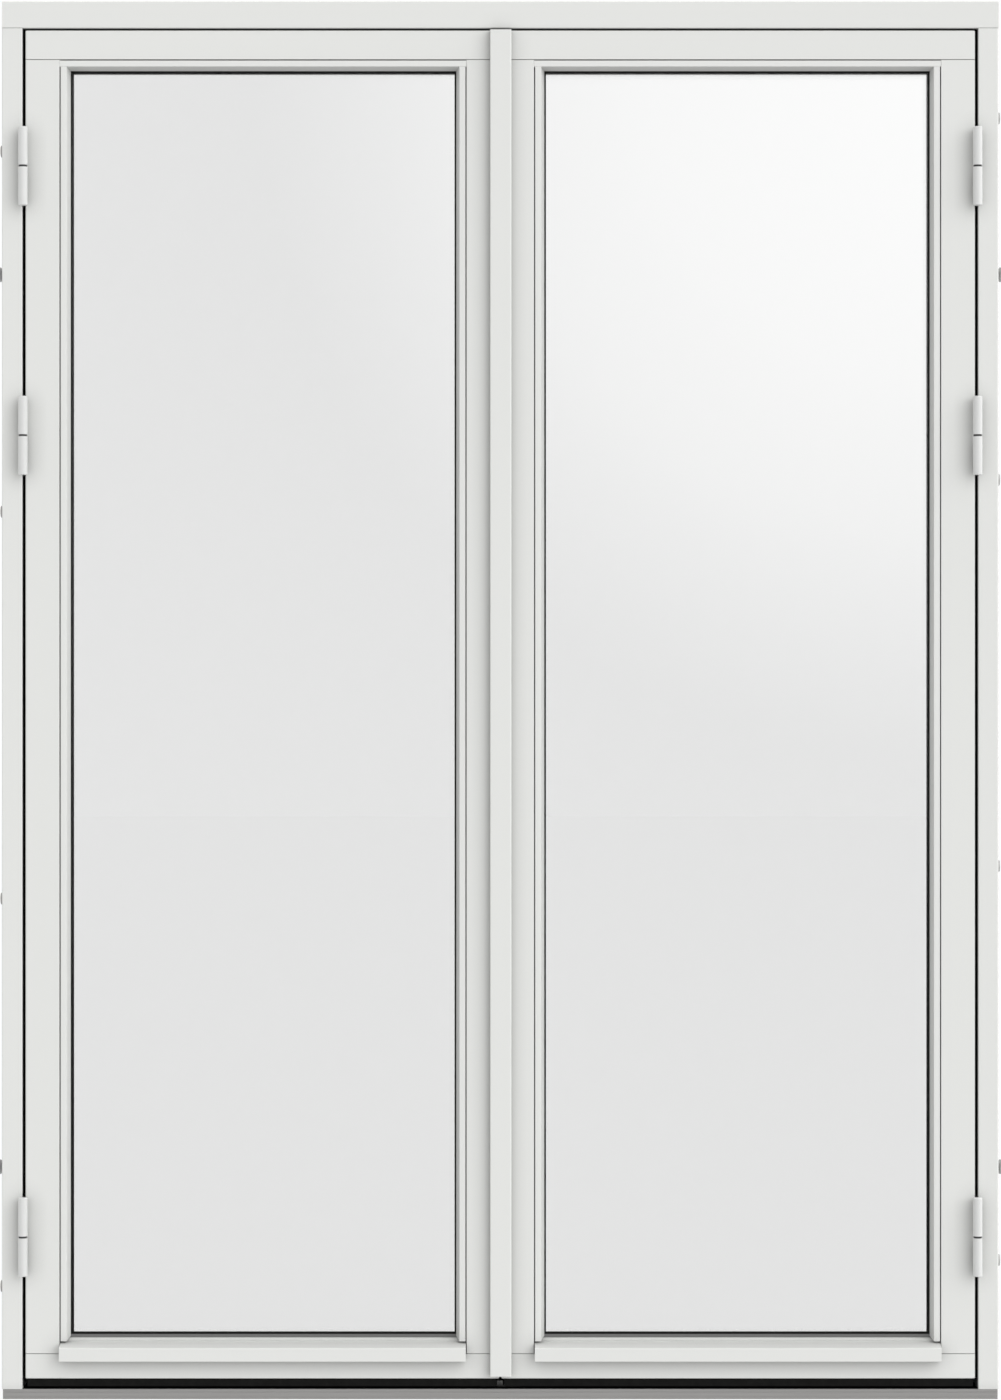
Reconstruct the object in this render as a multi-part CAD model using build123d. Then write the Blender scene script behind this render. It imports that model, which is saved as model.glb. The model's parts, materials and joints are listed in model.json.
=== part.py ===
from build123d import *
import os

# Sizes are in millimetres. The doors are seen from outside: +X is to the right, the outdoor side
# is at -Y and +Z is up. The origin is the middle of the threshold's underside.

# Frame
FRAME_WIDTH = 1490.0
FRAME_HEIGHT = 2090.0
FRAME_DEPTH = 115.0
JAMB_FACE = 30.5
HEAD_FACE = 40.5
STOP_REACH = 14.5
LINING_GROOVE_WIDTH = 6.5
LINING_GROOVE_DEPTH = 10.0
LINING_GROOVE_INSET = 12.0
ARRIS = 2.0
FINE_ARRIS = 1.0

# Threshold
THRESHOLD_HEIGHT = 15.0
THRESHOLD_END_CUT = 1.5
NOSING_WALL = 3.0
NOSING_LIP = 4.5
NOSING_LIP_THICKNESS = 2.0
NOSING_GROOVE_DEPTH = 0.6
NOSING_GROOVES = ((2.0, 4.6), (10.0, 11.4))
STOP_RAIL_RISE = 26.0

# Gaps around and between the leaves
SIDE_GAP = 4.5
TOP_GAP = 3.0
FOOT_GAP = 15.5
MEETING_GAP = 3.0
STOP_GAP = 5.0
SEAL_CLEARANCE = 0.3

# Leaf timbers
LEAF_THICKNESS = 68.0
LEAF_SETBACK = 1.0
HINGE_STILE_FACE = 51.0
MEETING_STILE_FACE = 49.0
TOP_RAIL_FACE = 43.5
BOTTOM_RAIL_FACE = 37.0
JOINT_GROOVE = 0.8
JOINT_GROOVE_DEPTH = 3.0
NIB_DEPTH = 12.0
NIB_REACH = 13.5
BOTTOM_NIB_REACH = 24.0
LIP_DEPTH = 20.0
HARDWARE_GAP = 12.0

# Sealed glass unit and its seatings
PANE = 4.0
CAVITY = 12.0
GASKET = 3.0
SIDE_ROOM = 4.0
TOP_ROOM = 2.0
BOTTOM_ROOM = 5.0
EDGE_SEAL = 13.0
SETTING_BLOCK_LENGTH = 80.0
SETTING_BLOCK_INSET = 100.0

# Glazing beads
BEAD_GROOVE = 1.5
BEAD_GROOVE_DEPTH = 8.0
SIDE_BEAD_FACE = 9.0
TOP_BEAD_FACE = 9.0
BEAD_BEVEL = 5.0
GASKET_LIP = 2.5
FOOT_GASKET_LIP = 8.5
BEAD_FOOT_GAP = 3.5
BEAD_HEEL_GAP = 2.5

# Drip bead under the glass
DRIP_REACH = 18.0
DRIP_RISE = 22.5
DRIP_NOSE = 4.0
DRIP_NOSE_FALL = 2.0
DRIP_SLOPE_RISE = 17.5
DRIP_EDGE_RISE = 11.5
DRIP_SKIRT = 9.0
DRIP_END_GAP = 1.0
DRIP_GROOVE_INSET = 4.0
DRIP_GROOVE = 3.0

# Strips on the meeting stiles
ASTRAGAL_WIDTH = 32.0
ASTRAGAL_LAP = 15.3
ASTRAGAL_THICKNESS = 12.0
ASTRAGAL_TOP_CUT = 0.5
ASTRAGAL_FOOT_CUT = 5.0
INNER_STOP_SEAT = 22.0
INNER_STOP_LAP = 11.0
INNER_STOP_THICKNESS = 12.0
INNER_STOP_END_GAP = 3.0
LAP_RELIEF = 0.8

# Rubber seals
BULB_WIDTH = 7.0
BULB_EDGE = 1.5
GAP_SEAL_INSET = 9.0
GAP_SEAL_DEPTH = 6.0
FOOT_SEAL_HEIGHT = 12.0
FOOT_SEAL_DEPTH = 8.0
FOOT_SEAL_INSET = 2.0
FOOT_SEAL_END_CUT = 3.0
FOOT_SEAL_START = 6.0

# Hinges. A rise is counted up from the origin, a drop down from the top of the head.
BOTTOM_HINGE_RISE = 244.0
MIDDLE_HINGE_DROP = 650.0
TOP_HINGE_DROP = 248.0
HINGE_LENGTH = 117.5
WASHER = 3.0
BARREL_RADIUS = 7.0
BARREL_CAP = 1.2
BARREL_OFFSET = 12.0
PIN_RADIUS = 4.0
PIN_RUNNING_FIT = 0.05
PIN_TIGHT_FIT = 0.02
PIN_REACH = 38.0
PIN_END_ROOM = 0.5
PLATE = 3.0
PLATE_PROUD = 0.5
PLATE_LENGTH = 48.0
PLATE_DEPTH = 20.0

# Fixings through the jambs
LEFT_SLEEVE_RISES = (165.0, 747.0)
LEFT_SLEEVE_DROPS = (762.0, 221.0)
RIGHT_SLEEVE_RISES = (204.0, 796.0)
RIGHT_SLEEVE_DROPS = (714.0, 171.0)
ADJUSTER_RISE = 344.0
ADJUSTER_DROP = 406.0
FIXING_DEPTH = 30.0
SLEEVE_RADIUS = 9.0
SLEEVE_BORE = 4.0
SLEEVE_PROUD = 5.0
SLEEVE_RECESS = 1.0
ADJUSTER_FOOT_RADIUS = 11.0
ADJUSTER_FOOT = 4.0
ADJUSTER_SHANK_RADIUS = 6.0
ADJUSTER_PROUD = 8.0

# Bolts, espagnolette and lever
ROD_RADIUS = 4.0
ROD_CLEARANCE = 0.4
ROD_INSET = 10.0
ROD_THROW = 18.0
ROD_TOP_DRAWBACK = 2.0
ROD_FOOT_REACH = 9.5
KEEP_CLEARANCE = 0.6
FACEPLATE = 3.0
FACEPLATE_WIDTH = 20.0
FACEPLATE_END_ROOM = 12.5
CHANNEL_WIDTH = 9.0
CHANNEL_DEPTH = 12.0
FLUSH_PLATE_LENGTH = 200.0
FLUSH_MORTISE_END = 12.0
FLUSH_TAB = 6.0
FLUSH_TAB_HEIGHT = 14.0
FLUSH_TAB_DRAWBACK = 45.0
HANDLE_HEIGHT = 1040.0
BACKSET = 34.0
GEARBOX_THICKNESS = 16.0
GEARBOX_LENGTH = 170.0
GEARBOX_BACK = 8.0
GEARBOX_ROD_SOCKET = 34.0
FOLLOWER_RADIUS = 5.3
SPINDLE = 7.0
SPINDLE_HOLE_RADIUS = 6.0
LEVER_RADIUS = 9.0
LEVER_LENGTH = 120.0
LEVER_STANDOFF = 44.0
LEVER_BEND = 16.0
BACKPLATE = 6.0
BACKPLATE_WIDTH = 26.0
BACKPLATE_LENGTH = 74.0
KEEP_PLATE = 2.5
KEEP_WIDTH = 60.0
KEEP_DEPTH = 28.0
KEEP_POCKET = 20.0
FOOT_POCKET = 13.0
CENTRE_BLOCK = (-5.0, 4.0)
CENTRE_BLOCK_HEIGHT = 6.5
CENTRE_BLOCK_DEPTH = 8.0


def heights(rises, drops):
    """Heights above the origin, from rises and from drops below the top of the head."""
    return rises + tuple(FRAME_HEIGHT - drop for drop in drops)


HINGE_HEIGHTS = {
    "bottom": BOTTOM_HINGE_RISE,
    "middle": FRAME_HEIGHT - MIDDLE_HINGE_DROP,
    "top": FRAME_HEIGHT - TOP_HINGE_DROP,
}
LEFT_SLEEVE_HEIGHTS = heights(LEFT_SLEEVE_RISES, LEFT_SLEEVE_DROPS)
RIGHT_SLEEVE_HEIGHTS = heights(RIGHT_SLEEVE_RISES, RIGHT_SLEEVE_DROPS)
ADJUSTER_HEIGHTS = heights((ADJUSTER_RISE,), (ADJUSTER_DROP,))

# Planes of the frame
FRONT = -FRAME_DEPTH / 2
BACK = FRAME_DEPTH / 2
FRAME_SIDE = FRAME_WIDTH / 2
REBATE_SIDE = FRAME_SIDE - JAMB_FACE
STOP_SIDE = REBATE_SIDE - STOP_REACH
REBATE_TOP = FRAME_HEIGHT - HEAD_FACE
STOP_TOP = REBATE_TOP - STOP_REACH
STOP_RAIL_TOP = THRESHOLD_HEIGHT + STOP_RAIL_RISE

# Planes of a leaf
LEAF_FRONT = FRONT + LEAF_SETBACK
LEAF_BACK = LEAF_FRONT + LEAF_THICKNESS
STOP_FRONT = LEAF_BACK + STOP_GAP
LEAF_SIDE = REBATE_SIDE - SIDE_GAP
LEAF_MEETING = MEETING_GAP / 2
LEAF_STEP = HARDWARE_GAP / 2
STEP_BACK = LEAF_FRONT + LIP_DEPTH
LEAF_TOP = REBATE_TOP - TOP_GAP
LEAF_FOOT = THRESHOLD_HEIGHT + FOOT_GAP

# The rebate that holds the glass
GLAZING_SIDE = LEAF_SIDE - HINGE_STILE_FACE
GLAZING_MEETING = LEAF_MEETING + MEETING_STILE_FACE
GLAZING_TOP = LEAF_TOP - TOP_RAIL_FACE
GLAZING_FOOT = LEAF_FOOT + BOTTOM_RAIL_FACE
NIB_FRONT = LEAF_BACK - NIB_DEPTH
UNIT_BACK = NIB_FRONT - GASKET
UNIT_FRONT = UNIT_BACK - 3 * PANE - 2 * CAVITY
BEAD_BACK = UNIT_FRONT - GASKET
PANE_X = (GLAZING_MEETING + SIDE_ROOM, GLAZING_SIDE - SIDE_ROOM)
PANE_Z = (GLAZING_FOOT + BOTTOM_ROOM, GLAZING_TOP - TOP_ROOM)
DRIP_TOP = GLAZING_FOOT + DRIP_RISE

# Hinge axis and bolt axes
PIVOT_X = (LEAF_SIDE + REBATE_SIDE) / 2
PIVOT_Y = FRONT - BARREL_OFFSET
ROD_X = LEAF_STEP + ROD_INSET
ROD_Y = (STEP_BACK + LEAF_BACK) / 2
SPINDLE_X = LEAF_STEP + BACKSET


def block(x, y, z):
    """A block that spans x, y and z, each given as (low, high)."""
    spans = (x, y, z)
    size = [high - low for low, high in spans]
    middle = [(high + low) / 2 for low, high in spans]
    return Pos(*middle) * Box(*size)


def section(corners):
    """A face from (a, b, radius) corners, each one rounded by its radius."""
    outline = make_face(Polyline(*[(a, b) for a, b, _ in corners], close=True))
    for a, b, radius in corners:
        if radius:
            outline = fillet(outline.vertices().sort_by_distance((a, b, 0))[0], radius)
    return outline


def upright(corners, z):
    """A section drawn in plan as (x, y, radius), run up from z[0] to z[1]."""
    return extrude(Pos(0, 0, z[0]) * section(corners), z[1] - z[0], dir=(0, 0, 1))


def level(corners, x):
    """A section drawn as (y, z, radius), run along from x[0] to x[1]."""
    return extrude(Pos(x[0], 0, 0) * (Plane.YZ * section(corners)), x[1] - x[0], dir=(1, 0, 0))


def rod_along_x(radius, x, y, z):
    return Pos((x[0] + x[1]) / 2, y, z) * Rot(0, 90, 0) * Cylinder(radius, x[1] - x[0])


def rod_along_y(radius, x, y, z):
    return Pos(x, (y[0] + y[1]) / 2, z) * Rot(90, 0, 0) * Cylinder(radius, y[1] - y[0])


def rod_along_z(radius, x, y, z):
    return Pos(x, y, (z[0] + z[1]) / 2) * Cylinder(radius, z[1] - z[0])


def to_left(shape):
    return mirror(shape, about=Plane.YZ)


def front_arrises(shape, heights, radius):
    """Rounds the long front edges of a rail at the given heights."""
    edges = [
        edge
        for edge in shape.edges().filter_by(Axis.X)
        if abs(edge.center().Y - LEAF_FRONT) < 0.01
        and any(abs(edge.center().Z - height) < 0.01 for height in heights)
    ]
    return fillet(edges, radius)


# Frame

def jamb(sleeve_heights):
    """The right jamb: a rebated section with a groove for the wall lining in its inner face."""
    groove = (STOP_SIDE + LINING_GROOVE_INSET, STOP_SIDE + LINING_GROOVE_INSET + LINING_GROOVE_WIDTH)
    groove_bottom = BACK - LINING_GROOVE_DEPTH
    corners = [
        (FRAME_SIDE, FRONT, ARRIS),
        (FRAME_SIDE, BACK, FINE_ARRIS),
        (groove[1], BACK, 0),
        (groove[1], groove_bottom, 0),
        (groove[0], groove_bottom, 0),
        (groove[0], BACK, 0),
        (STOP_SIDE, BACK, ARRIS),
        (STOP_SIDE, STOP_FRONT, FINE_ARRIS),
        (REBATE_SIDE, STOP_FRONT, 0),
        (REBATE_SIDE, FRONT, ARRIS),
    ]
    post = upright(corners, (THRESHOLD_HEIGHT, REBATE_TOP))
    through = (REBATE_SIDE - 1, FRAME_SIDE + 1)
    for height in sleeve_heights:
        post -= rod_along_x(SLEEVE_RADIUS, through, FRONT + FIXING_DEPTH, height)
    for height in ADJUSTER_HEIGHTS:
        post -= rod_along_x(ADJUSTER_SHANK_RADIUS, through, FRONT + FIXING_DEPTH, height)
    for height in HINGE_HEIGHTS.values():
        post -= frame_side(frame_flap(), height)
    return post


def head():
    """The head lies over both jambs. Its stop hangs between their stops."""
    beam = level(
        [
            (FRONT, REBATE_TOP, ARRIS),
            (BACK, REBATE_TOP, 0),
            (BACK, FRAME_HEIGHT, FINE_ARRIS),
            (FRONT, FRAME_HEIGHT, ARRIS),
        ],
        (-FRAME_SIDE, FRAME_SIDE),
    )
    stop = level(
        [
            (STOP_FRONT, STOP_TOP, FINE_ARRIS),
            (BACK, STOP_TOP, ARRIS),
            (BACK, REBATE_TOP, 0),
            (STOP_FRONT, REBATE_TOP, 0),
        ],
        (-STOP_SIDE, STOP_SIDE),
    )
    groove_foot = STOP_TOP + LINING_GROOVE_INSET
    groove = block(
        (-STOP_SIDE - LINING_GROOVE_INSET, STOP_SIDE + LINING_GROOVE_INSET),
        (BACK - LINING_GROOVE_DEPTH, BACK + 1),
        (groove_foot, groove_foot + LINING_GROOVE_WIDTH),
    )
    beam = beam + stop - groove
    beam -= block(*keep_spans((REBATE_TOP - 1, REBATE_TOP + KEEP_PLATE)))
    pocket = (REBATE_TOP, REBATE_TOP + KEEP_POCKET)
    for x in (-ROD_X, ROD_X):
        beam -= rod_along_z(ROD_RADIUS + KEEP_CLEARANCE, x, ROD_Y, pocket)
    return beam


def keep_spans(z):
    """The outline of a keep plate, centred on the two bolts."""
    return (
        (-KEEP_WIDTH / 2, KEEP_WIDTH / 2),
        (ROD_Y - KEEP_DEPTH / 2, ROD_Y + KEEP_DEPTH / 2),
        z,
    )


def keep_plate(z):
    plate = block(*keep_spans(z))
    for x in (-ROD_X, ROD_X):
        plate -= rod_along_z(ROD_RADIUS + KEEP_CLEARANCE, x, ROD_Y, (z[0] - 1, z[1] + 1))
    return plate


def threshold_keep():
    """The lower keep with the small block that stands up between the leaves' foot seals."""
    top = THRESHOLD_HEIGHT + KEEP_PLATE
    spans_y = (ROD_Y - KEEP_DEPTH / 2 - CENTRE_BLOCK_DEPTH, ROD_Y - KEEP_DEPTH / 2)
    tongue = block((-KEEP_WIDTH / 2, KEEP_WIDTH / 2), spans_y, (THRESHOLD_HEIGHT, top))
    stud = block(CENTRE_BLOCK, spans_y, (top, top + CENTRE_BLOCK_HEIGHT))
    return keep_plate((THRESHOLD_HEIGHT, top)) + tongue + stud


def threshold_nosing():
    """A metal channel that wraps the threshold's front edge."""
    lip_back = FRONT + NOSING_LIP
    wall_back = FRONT + NOSING_WALL
    channel = level(
        [
            (FRONT, 0, FINE_ARRIS),
            (lip_back, 0, 0),
            (lip_back, NOSING_LIP_THICKNESS, 0),
            (wall_back, NOSING_LIP_THICKNESS, 0),
            (wall_back, THRESHOLD_HEIGHT - NOSING_LIP_THICKNESS, 0),
            (lip_back, THRESHOLD_HEIGHT - NOSING_LIP_THICKNESS, 0),
            (lip_back, THRESHOLD_HEIGHT, 0),
            (FRONT, THRESHOLD_HEIGHT, FINE_ARRIS),
        ],
        (-FRAME_SIDE + THRESHOLD_END_CUT, FRAME_SIDE - THRESHOLD_END_CUT),
    )
    for low, high in NOSING_GROOVES:
        channel -= block(
            (-FRAME_SIDE, FRAME_SIDE), (FRONT - 1, FRONT + NOSING_GROOVE_DEPTH), (low, high)
        )
    return channel


def threshold_core():
    """The composite core, whose front tongue fills the nosing."""
    lip_back = FRONT + NOSING_LIP
    wall_back = FRONT + NOSING_WALL
    core = level(
        [
            (wall_back, NOSING_LIP_THICKNESS, 0),
            (lip_back, NOSING_LIP_THICKNESS, 0),
            (lip_back, 0, 0),
            (BACK, 0, 0),
            (BACK, THRESHOLD_HEIGHT, 0),
            (lip_back, THRESHOLD_HEIGHT, 0),
            (lip_back, THRESHOLD_HEIGHT - NOSING_LIP_THICKNESS, 0),
            (wall_back, THRESHOLD_HEIGHT - NOSING_LIP_THICKNESS, 0),
        ],
        (-FRAME_SIDE + THRESHOLD_END_CUT, FRAME_SIDE - THRESHOLD_END_CUT),
    )
    pocket = (THRESHOLD_HEIGHT - FOOT_POCKET, THRESHOLD_HEIGHT + 1)
    for x in (-ROD_X, ROD_X):
        core -= rod_along_z(ROD_RADIUS + KEEP_CLEARANCE, x, ROD_Y, pocket)
    return core


def threshold_stop():
    """The rail that the leaves close against at the foot."""
    return level(
        [
            (STOP_FRONT, THRESHOLD_HEIGHT, 0),
            (BACK, THRESHOLD_HEIGHT, 0),
            (BACK, STOP_RAIL_TOP, ARRIS),
            (STOP_FRONT, STOP_RAIL_TOP, ARRIS),
        ],
        (-STOP_SIDE, STOP_SIDE),
    )


def weatherstrips():
    """Bulb seals on the stops, and the black strips that close the gaps at the sides and top."""
    tip = LEAF_BACK + SEAL_CLEARANCE
    round_tip = BULB_WIDTH / 2 - 0.5
    bulb_side = STOP_SIDE + BULB_EDGE
    side_bulb = upright(
        [
            (bulb_side, STOP_FRONT, 0),
            (bulb_side + BULB_WIDTH, STOP_FRONT, 0),
            (bulb_side + BULB_WIDTH, tip, round_tip),
            (bulb_side, tip, round_tip),
        ],
        (THRESHOLD_HEIGHT, REBATE_TOP),
    )
    level_bulbs = []
    for foot in (STOP_TOP + BULB_EDGE, STOP_RAIL_TOP - BULB_EDGE - BULB_WIDTH):
        corners = [
            (STOP_FRONT, foot, 0),
            (STOP_FRONT, foot + BULB_WIDTH, 0),
            (tip, foot + BULB_WIDTH, round_tip),
            (tip, foot, round_tip),
        ]
        level_bulbs.append(level(corners, (-bulb_side, bulb_side)))
    seal_y = (LEAF_FRONT + GAP_SEAL_INSET, LEAF_FRONT + GAP_SEAL_INSET + GAP_SEAL_DEPTH)
    seal_foot = LEAF_TOP + SEAL_CLEARANCE
    top_seal = block((-REBATE_SIDE, REBATE_SIDE), seal_y, (seal_foot, REBATE_TOP))
    side_seals = block((LEAF_SIDE + SEAL_CLEARANCE, REBATE_SIDE), seal_y, (LEAF_FOOT, seal_foot))
    for height in HINGE_HEIGHTS.values():
        room = HINGE_LENGTH / 2 + 1
        side_seals -= block(
            (LEAF_SIDE, REBATE_SIDE + 1), (FRONT, STOP_FRONT), (height - room, height + room)
        )
    right = [side_bulb] + side_seals.solids()
    return level_bulbs + [top_seal] + right + [to_left(strip) for strip in right]


def fixing_sleeves():
    """Sleeves screwed through the jambs, each bored for a wall screw."""
    span = (REBATE_SIDE + SLEEVE_RECESS, FRAME_SIDE + SLEEVE_PROUD)
    y = FRONT + FIXING_DEPTH

    def sleeve(height):
        body = rod_along_x(SLEEVE_RADIUS, span, y, height)
        body = chamfer(body.edges().filter_by(GeomType.CIRCLE).sort_by(Axis.X)[-1], FINE_ARRIS)
        return body - rod_along_x(SLEEVE_BORE, (span[0] - 1, span[1] + 1), y, height)

    right = [sleeve(height) for height in RIGHT_SLEEVE_HEIGHTS]
    return right + [to_left(sleeve(height)) for height in LEFT_SLEEVE_HEIGHTS]


def frame_adjusters():
    """Jacking screws that set the frame off the wall, each with a round foot."""
    outer = FRAME_SIDE + ADJUSTER_PROUD
    y = FRONT + FIXING_DEPTH

    def adjuster(height):
        shank = rod_along_x(ADJUSTER_SHANK_RADIUS, (REBATE_SIDE + SLEEVE_RECESS, outer), y, height)
        foot = rod_along_x(ADJUSTER_FOOT_RADIUS, (outer - ADJUSTER_FOOT, outer), y, height)
        foot = chamfer(foot.edges().filter_by(GeomType.CIRCLE), FINE_ARRIS)
        return shank + foot

    right = [adjuster(height) for height in ADJUSTER_HEIGHTS]
    return right + [to_left(screw) for screw in right]


# Hinges

def barrel_half():
    """The upper half of a hinge barrel on the Z axis, with its end eased in two steps."""
    foot = WASHER / 2
    top = HINGE_LENGTH / 2
    ease = BARREL_CAP * 0.3
    outline = Polyline(
        (0, foot),
        (BARREL_RADIUS, foot),
        (BARREL_RADIUS, top - BARREL_CAP),
        (BARREL_RADIUS - ease, top - ease),
        (BARREL_RADIUS - BARREL_CAP, top),
        (0, top),
        close=True,
    )
    return revolve(Plane.XZ * make_face(outline), Axis.Z)


def flap(proud_from_axis, depth):
    """A hinge flap beside the upper barrel half, on the +X side of the hinge axis."""
    foot = WASHER / 2 + (HINGE_LENGTH / 2 - PLATE_LENGTH) / 2
    return block((proud_from_axis, proud_from_axis + PLATE), (0, depth), (foot, foot + PLATE_LENGTH))


def hinge_half(fit, shape):
    """The upper barrel half, bored for the pin, with its flap joined to the barrel's wall."""
    bore = (WASHER / 2 - 1, WASHER / 2 + PIN_REACH + PIN_END_ROOM)
    bored = barrel_half() - rod_along_z(PIN_RADIUS + fit, 0, 0, bore)
    inside = rod_along_z((PIN_RADIUS + BARREL_RADIUS) / 2, 0, 0, (0, HINGE_LENGTH / 2))
    return bored + (shape - inside)


def leaf_side(shape, height):
    """Turns an upper half over to the leaf's side of the axis."""
    return Pos(PIVOT_X, PIVOT_Y, height) * mirror(shape, about=Plane.YZ)


def frame_side(shape, height):
    """Turns an upper half upside down, for the frame's side of the axis."""
    return Pos(PIVOT_X, PIVOT_Y, height) * mirror(shape, about=Plane.XY)


def leaf_flap():
    return flap(PIVOT_X - LEAF_SIDE - PLATE_PROUD, LEAF_FRONT + PLATE_DEPTH - PIVOT_Y)


def frame_flap():
    return flap(REBATE_SIDE - PLATE_PROUD - PIVOT_X, FRONT + PLATE_DEPTH - PIVOT_Y)


def leaf_hinge(height):
    return leaf_side(hinge_half(PIN_RUNNING_FIT, leaf_flap()), height)


def frame_hinge(height):
    return frame_side(hinge_half(PIN_TIGHT_FIT, frame_flap()), height)


def hinge_pins():
    reach = WASHER / 2 + PIN_REACH
    pins = [
        rod_along_z(PIN_RADIUS, PIVOT_X, PIVOT_Y, (height - reach, height + reach))
        for height in HINGE_HEIGHTS.values()
    ]
    return pins + [to_left(pin) for pin in pins]


def hinge_washers():
    washers = []
    for height in HINGE_HEIGHTS.values():
        span = (height - WASHER / 2, height + WASHER / 2)
        ring = rod_along_z(BARREL_RADIUS - FINE_ARRIS, PIVOT_X, PIVOT_Y, span)
        washers.append(ring - rod_along_z(PIN_RADIUS + PIN_RUNNING_FIT, PIVOT_X, PIVOT_Y, span))
    return washers + [to_left(washer) for washer in washers]


# Leaf timbers

def joint_grooves(stile):
    """Fine shadow grooves in the leaf's front, where a stile meets the two rails."""
    front = (LEAF_FRONT - 1, LEAF_FRONT + JOINT_GROOVE_DEPTH)
    for z in (
        (GLAZING_FOOT - 1, GLAZING_FOOT + JOINT_GROOVE),
        (GLAZING_TOP - JOINT_GROOVE, GLAZING_TOP + 1),
    ):
        stile -= block((0, REBATE_SIDE), front, z)
    return stile


def hinge_stile():
    """The right leaf's hinge stile: a rebated section let in for three hinge flaps."""
    corners = [
        (LEAF_SIDE, LEAF_FRONT, ARRIS),
        (LEAF_SIDE, LEAF_BACK, ARRIS),
        (GLAZING_SIDE - NIB_REACH, LEAF_BACK, ARRIS),
        (GLAZING_SIDE - NIB_REACH, NIB_FRONT, 0),
        (GLAZING_SIDE, NIB_FRONT, 0),
        (GLAZING_SIDE, LEAF_FRONT, FINE_ARRIS),
    ]
    stile = joint_grooves(upright(corners, (GLAZING_FOOT, GLAZING_TOP)))
    for height in HINGE_HEIGHTS.values():
        stile -= leaf_side(leaf_flap(), height)
    return stile


def meeting_stile():
    """The right leaf's meeting stile, whose edge steps back behind a front lip."""
    corners = [
        (LEAF_MEETING, LEAF_FRONT, ARRIS),
        (LEAF_MEETING, STEP_BACK, 0),
        (LEAF_STEP, STEP_BACK, 0),
        (LEAF_STEP, LEAF_BACK, ARRIS),
        (GLAZING_MEETING + NIB_REACH, LEAF_BACK, ARRIS),
        (GLAZING_MEETING + NIB_REACH, NIB_FRONT, 0),
        (GLAZING_MEETING, NIB_FRONT, 0),
        (GLAZING_MEETING, LEAF_FRONT, FINE_ARRIS),
    ]
    return joint_grooves(upright(corners, (GLAZING_FOOT, GLAZING_TOP)))


def rail(z, nib_z):
    """A rail that runs over the stiles' ends, with a nib between theirs."""
    plan = [
        (LEAF_MEETING, LEAF_FRONT, ARRIS),
        (LEAF_MEETING, STEP_BACK, 0),
        (LEAF_STEP, STEP_BACK, 0),
        (LEAF_STEP, LEAF_BACK, ARRIS),
        (LEAF_SIDE, LEAF_BACK, ARRIS),
        (LEAF_SIDE, LEAF_FRONT, ARRIS),
    ]
    nib_x = (GLAZING_MEETING + NIB_REACH, GLAZING_SIDE - NIB_REACH)
    bar = upright(plan, z) + block(nib_x, (NIB_FRONT, LEAF_BACK), nib_z)
    return bar - rod_along_z(ROD_RADIUS + ROD_CLEARANCE, ROD_X, ROD_Y, (z[0] - 1, z[1] + 1))


def top_rail():
    bar = rail((GLAZING_TOP, LEAF_TOP), (GLAZING_TOP - NIB_REACH, GLAZING_TOP))
    bar = front_arrises(bar, [LEAF_TOP], ARRIS)
    return front_arrises(bar, [GLAZING_TOP], FINE_ARRIS)


def bottom_rail():
    bar = rail((LEAF_FOOT, GLAZING_FOOT), (GLAZING_FOOT, GLAZING_FOOT + BOTTOM_NIB_REACH))
    bar = front_arrises(bar, [LEAF_FOOT], ARRIS)
    return front_arrises(bar, [GLAZING_FOOT], FINE_ARRIS)


# Beads and glass

def top_bead():
    """The bead over the glass. A shadow groove parts its face from the rail."""
    groove_back = LEAF_FRONT + BEAD_GROOVE_DEPTH
    face_top = GLAZING_TOP - BEAD_GROOVE
    face_foot = face_top - TOP_BEAD_FACE
    corners = [
        (LEAF_FRONT, face_top, FINE_ARRIS),
        (groove_back, face_top, 0),
        (groove_back, GLAZING_TOP, 0),
        (BEAD_BACK, GLAZING_TOP, 0),
        (BEAD_BACK, face_foot - BEAD_BEVEL, 0),
        (LEAF_FRONT, face_foot, FINE_ARRIS),
    ]
    return level(corners, (GLAZING_MEETING, GLAZING_SIDE))


def side_bead(rebate, inward):
    """A side bead from the drip bead up to the top bead, coped to the top bead's bevel."""
    groove_back = LEAF_FRONT + BEAD_GROOVE_DEPTH
    face = rebate + inward * BEAD_GROOVE
    face_end = face + inward * SIDE_BEAD_FACE
    corners = [
        (face, LEAF_FRONT, FINE_ARRIS),
        (face, groove_back, 0),
        (rebate, groove_back, 0),
        (rebate, BEAD_BACK, 0),
        (face_end + inward * BEAD_BEVEL, BEAD_BACK, 0),
        (face_end, LEAF_FRONT, FINE_ARRIS),
    ]
    bead = upright(corners, (GLAZING_FOOT, GLAZING_TOP))
    slope = (DRIP_SLOPE_RISE - DRIP_EDGE_RISE) / (BEAD_BACK - DRIP_NOSE - drip_front())
    front_foot = GLAZING_FOOT + DRIP_EDGE_RISE + slope * DRIP_REACH + BEAD_FOOT_GAP
    back_foot = DRIP_TOP + BEAD_HEEL_GAP
    front_top = GLAZING_TOP - BEAD_GROOVE - TOP_BEAD_FACE
    back_top = front_top - BEAD_BEVEL
    side_face = level(
        [
            (LEAF_FRONT, front_foot, 0),
            (BEAD_BACK, back_foot, 0),
            (BEAD_BACK, back_top, 0),
            (LEAF_FRONT, front_top, 0),
        ],
        (LEAF_MEETING, LEAF_SIDE),
    )
    return bead & side_face


def side_beads():
    return [side_bead(GLAZING_MEETING, 1), side_bead(GLAZING_SIDE, -1)]


def drip_front():
    return LEAF_FRONT - DRIP_REACH


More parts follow.
